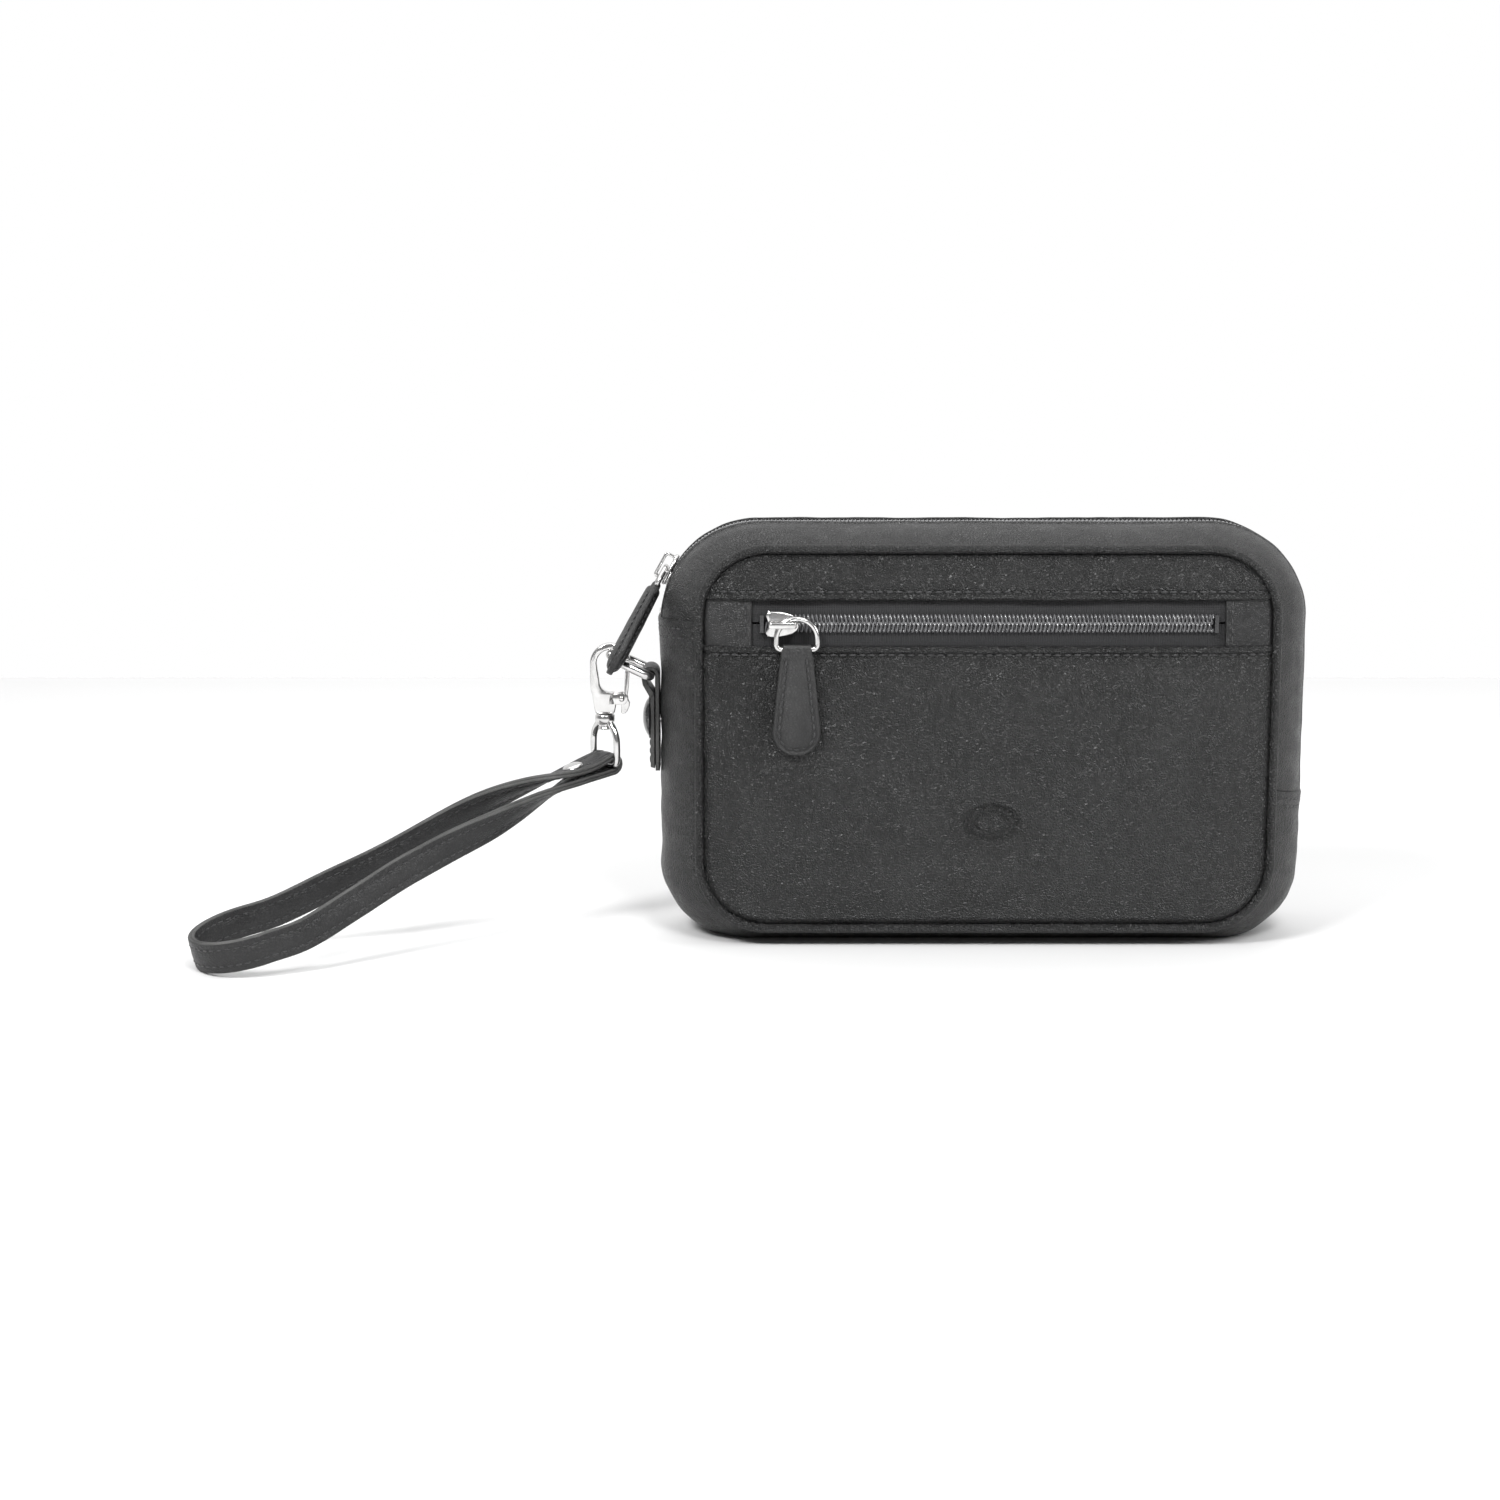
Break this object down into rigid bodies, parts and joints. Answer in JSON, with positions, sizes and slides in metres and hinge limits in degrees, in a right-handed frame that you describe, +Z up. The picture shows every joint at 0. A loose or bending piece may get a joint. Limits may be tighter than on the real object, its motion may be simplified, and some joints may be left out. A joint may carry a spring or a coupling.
{
  "type": "makeup bag",
  "caption": "Soft black leather make-up bag with a zipped front pocket, a zip that runs over the top, and a clip-on wrist strap with a trigger hook.",
  "frame": {"origin": "middle of the flat base, on the surface the bag stands on, at mid-depth of the bag body; the wrist strap lies beyond the bag's left end", "axes": "+X along the bag's length towards its plain end, +Y from the pocket side to the back, +Z up"},
  "size_m": [0.3581, 0.1022, 0.1358],
  "materials": {
    "shell_leather": "soft grained black leather, satin",
    "piping_leather": "black leather rolled over a cord",
    "pull_leather": "padded stitched black leather",
    "strap_leather": "smooth black leather with cut edges",
    "lining_cloth": "fine woven black lining",
    "zip_tape": "woven black zip tape",
    "zip_coil": "dark nylon coil, slightly glossy",
    "stiffener_board": "matt fibre board",
    "slider_nickel": "bright nickel",
    "hardware_chrome": "polished silver plating",
    "stud_enamel": "gloss black enamel",
    "spring_steel": "bright spring steel"
  },
  "bodies": {
    "bag": {"back_panel": "shell_leather", "front_upper_panel": "shell_leather", "front_pocket_panel": "shell_leather", "zip_end_patch_left": "shell_leather", "zip_end_patch_right": "shell_leather", "bottom_gusset": "shell_leather", "corner_strip_front_left": "shell_leather", "corner_strip_front_right": "shell_leather", "corner_strip_back_left": "shell_leather", "corner_strip_back_right": "shell_leather", "corner_tape_left": "zip_tape", "corner_tape_right": "zip_tape", "corner_coil_left": "zip_coil", "corner_coil_right": "zip_coil", "main_zip_stops": "slider_nickel", "piping_front": "piping_leather", "piping_back": "piping_leather", "front_board": "stiffener_board", "back_board": "stiffener_board", "base_board": "stiffener_board", "lining_front": "lining_cloth", "lining_back": "lining_cloth", "lining_gusset": "lining_cloth", "lining_corner_left": "lining_cloth", "lining_corner_right": "lining_cloth", "pocket_pouch": "lining_cloth", "pocket_tape_upper": "zip_tape", "pocket_tape_lower": "zip_tape", "pocket_coil_upper": "zip_coil", "pocket_coil_lower": "zip_coil", "pocket_zip_stops": "slider_nickel", "side_tab": "strap_leather", "stud_cap": "stud_enamel", "stud_post": "hardware_chrome"},
    "front_lip": {"top_strip_front": "shell_leather", "top_tape_front": "zip_tape", "top_coil_front": "zip_coil", "lining_lip_front": "lining_cloth"},
    "back_lip": {"top_strip_back": "shell_leather", "top_tape_back": "zip_tape", "top_coil_back": "zip_coil", "lining_lip_back": "lining_cloth"},
    "pocket_slider": {"pocket_slider": "slider_nickel"},
    "pocket_ring": {"pocket_pull_ring": "slider_nickel"},
    "pocket_pull": {"pocket_pull": "pull_leather"},
    "main_slider": {"main_slider": "slider_nickel"},
    "main_ring": {"main_pull_ring": "slider_nickel"},
    "main_pull": {"main_pull": "pull_leather"},
    "side_ring": {"d_ring": "hardware_chrome"},
    "hook": {"hook_body": "hardware_chrome", "lever_pin": "hardware_chrome", "lever_spring": "spring_steel", "swivel_collar": "hardware_chrome"},
    "hook_lever": {"hook_lever": "hardware_chrome"},
    "swivel_eye": {"swivel_eye": "hardware_chrome"},
    "wrist_strap": {"wrist_strap": "strap_leather", "strap_rivet": "hardware_chrome"}
  },
  "joints": [
    {"name": "front_lip_fold", "type": "hinge", "parent": "bag", "child": "front_lip", "pos_m": [0, -0.027, 0.129], "axis": [-1, 0, 0], "range_deg": [-78, 0]},
    {"name": "back_lip_fold", "type": "hinge", "parent": "bag", "child": "back_lip", "pos_m": [0, 0.027, 0.129], "axis": [1, 0, 0], "range_deg": [-78, 0]},
    {"name": "pocket_zip_slide", "type": "slide", "parent": "bag", "child": "pocket_slider", "axis": [1, 0, 0], "range_m": [0, 0.128]},
    {"name": "pocket_ring_swing", "type": "hinge", "parent": "pocket_slider", "child": "pocket_ring", "pos_m": [-0.0655, -0.03339, 0.10575], "axis": [-0.7071, 0, -0.7071], "range_deg": [0, 90]},
    {"name": "pocket_pull_swing", "type": "hinge", "parent": "pocket_ring", "child": "pocket_pull", "pos_m": [-0.0609, -0.03339, 0.09795], "axis": [-1, 0, 0], "range_deg": [0, 90]},
    {"name": "main_zip_travel", "type": "hinge", "parent": "bag", "child": "main_slider", "pos_m": [-0.073, 0, 0.104], "axis": [0, 1, 0], "range_deg": [-5, 50]},
    {"name": "main_ring_swing", "type": "hinge", "parent": "main_slider", "child": "main_ring", "pos_m": [-0.10304, 0, 0.12065], "axis": [0, 1, 0], "range_deg": [0, 95]},
    {"name": "main_pull_swing", "type": "hinge", "parent": "main_ring", "child": "main_pull", "pos_m": [-0.10742, -0.00197, 0.11276], "axis": [-0.2985, 0.788, -0.5385], "range_deg": [0, 80]},
    {"name": "side_ring_tilt", "type": "hinge", "parent": "bag", "child": "side_ring", "pos_m": [-0.1083, 0, 0.0855], "axis": [0, 1, 0], "range_deg": [-6, 25]},
    {"name": "hook_swing", "type": "hinge", "parent": "side_ring", "child": "hook", "pos_m": [-0.12153, 0, 0.09167], "axis": [0, -1, 0], "range_deg": [-60, 8]},
    {"name": "hook_lever_press", "type": "hinge", "parent": "hook", "child": "hook_lever", "pos_m": [-0.11783, 0, 0.07717], "axis": [0, -1, 0], "range_deg": [0, 18], "stiffness_Nm_per_rad": 0.05, "springref_deg": -5.73},
    {"name": "eye_swivel", "type": "hinge", "parent": "hook", "child": "swivel_eye", "pos_m": [-0.12343, 0, 0.07227], "axis": [0, 0, 1], "range_deg": [-60, 60]},
    {"name": "strap_swing", "type": "hinge", "parent": "swivel_eye", "child": "wrist_strap", "pos_m": [-0.12343, 0, 0.05567], "axis": [-0.6293, 0.7771, 0], "range_deg": [-65, 50]}
  ]
}
